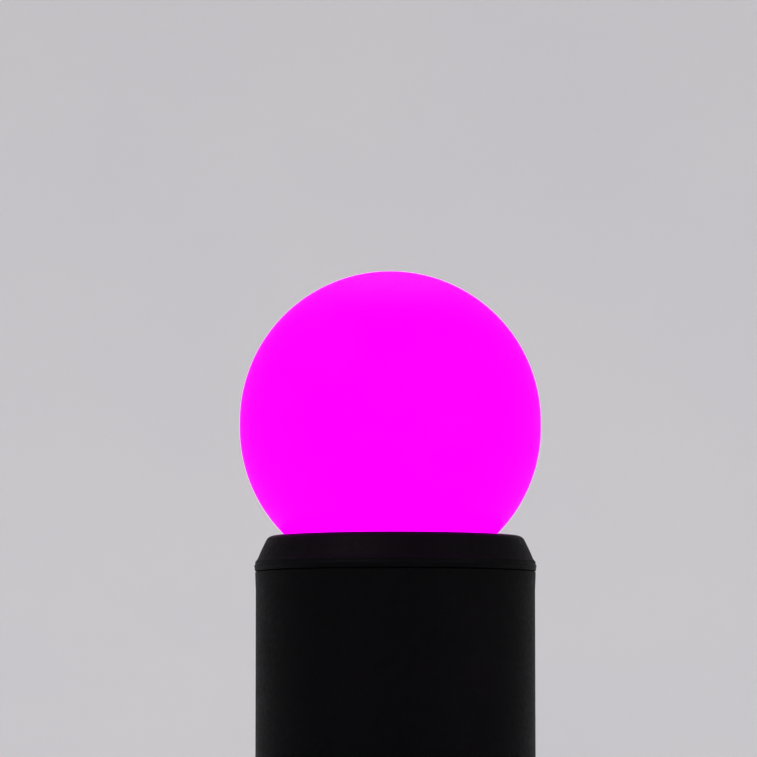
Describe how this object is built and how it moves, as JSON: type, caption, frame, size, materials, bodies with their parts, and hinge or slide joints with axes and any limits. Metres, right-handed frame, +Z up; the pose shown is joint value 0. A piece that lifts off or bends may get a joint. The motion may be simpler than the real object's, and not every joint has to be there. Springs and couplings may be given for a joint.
{
  "type": "smart light bulb in table holder",
  "caption": "Globe-shaped colour smart bulb with a screw cap, seated in an upright cylindrical black table lamp holder with a chamfered collar and a weighted base.",
  "frame": {"origin": "on the bulb's own axis, at the surface that the holder's rubber feet stand on", "axes": "+Z up along the bulb's axis from its cap to its globe, +Y towards the holder's cable entry at the back"},
  "size_m": [0.06, 0.06, 0.1408],
  "materials": {
    "opal_globe": "opal, smooth, lit magenta from inside",
    "white_housing": "fine satin white",
    "nickelled_brass": "nickel plated",
    "silicone": "translucent grey",
    "aluminium": "pressed, bare",
    "thermal_pad": "soft, matt",
    "white_solder_mask": "white solder mask",
    "led_package": "white frame with yellow phosphor",
    "zinc_steel": "zinc plated",
    "green_circuit_board": "green solder mask",
    "capacitor_sleeve": "shrunk sleeve",
    "blue_epoxy": "dipped epoxy",
    "ferrite": "dark grey, matt",
    "yellow_tape": "polyester tape",
    "chip_black": "moulded epoxy",
    "tinned_steel": "tin plated",
    "copper": "bare copper",
    "lead_insulation": "soft plastic sleeve",
    "black_glass": "black glass",
    "brass": "bright rolled brass",
    "spring_steel": "stainless wire",
    "black_metal": "fine matt black paint",
    "black_cast_iron": "fine matt black paint over a casting",
    "black_steel": "black painted steel sheet",
    "black_rubber": "matt",
    "glazed_ceramic": "glossy cream glaze"
  },
  "bodies": {
    "holder": {"holder_collar": "black_metal", "holder_cup": "black_metal", "base_ring": "black_cast_iron", "base_plate": "black_steel", "base_screws": "zinc_steel", "post_screws": "zinc_steel", "rubber_feet": "black_rubber", "cable_grommet": "black_rubber", "socket_body": "glazed_ceramic", "screw_shell": "brass", "centre_terminal": "brass", "shell_terminal": "brass", "shell_rivets": "brass", "terminal_screws": "zinc_steel", "socket_posts": "zinc_steel", "earth_tag": "tinned_steel", "earth_screw": "brass"},
    "plunger": {"contact_plunger": "brass", "contact_spring": "spring_steel"},
    "bulb_foot": {"cap_insulator": "black_glass", "cap_contact": "nickelled_brass"},
    "bulb": {"globe_diffuser": "opal_globe", "bulb_housing": "white_housing", "cap_shell": "nickelled_brass", "globe_seal": "silicone", "heat_sink": "aluminium", "thermal_pad": "thermal_pad", "led_board": "white_solder_mask", "white_leds": "led_package", "colour_leds": "led_package", "led_board_screws": "zinc_steel", "driver_board": "green_circuit_board", "input_capacitor": "capacitor_sleeve", "output_capacitor": "capacitor_sleeve", "surge_varistor": "blue_epoxy", "fuse_resistor": "blue_epoxy", "filter_choke": "ferrite", "transformer_core": "ferrite", "transformer_coil": "yellow_tape", "bridge_rectifier": "chip_black", "control_chip": "chip_black", "board_header": "chip_black", "radio_board": "green_circuit_board", "radio_shield": "tinned_steel", "radio_aerial": "copper", "radio_pins": "tinned_steel", "centre_lead": "lead_insulation", "shell_lead": "lead_insulation"}
  },
  "joints": [
    {"name": "bulb_lift", "type": "slide", "parent": "holder", "child": "bulb_foot", "axis": [0, 0, 1], "range_m": [0, 0.0182]},
    {"name": "bulb_turn", "type": "hinge", "parent": "bulb_foot", "child": "bulb", "pos_m": [0, 0, 0.06], "axis": [0, 0, 1], "range_deg": [0, 1800]},
    {"name": "plunger_press", "type": "slide", "parent": "holder", "child": "plunger", "axis": [0, 0, 1], "range_m": [-0.0012, 0], "stiffness_N_per_m": 400, "springref_m": 0.002, "deforming": ["contact_spring"]}
  ],
  "couplings": [
    {"joint": "bulb_lift", "follows": "bulb_turn", "m_per_rad": 0.00057757}
  ]
}
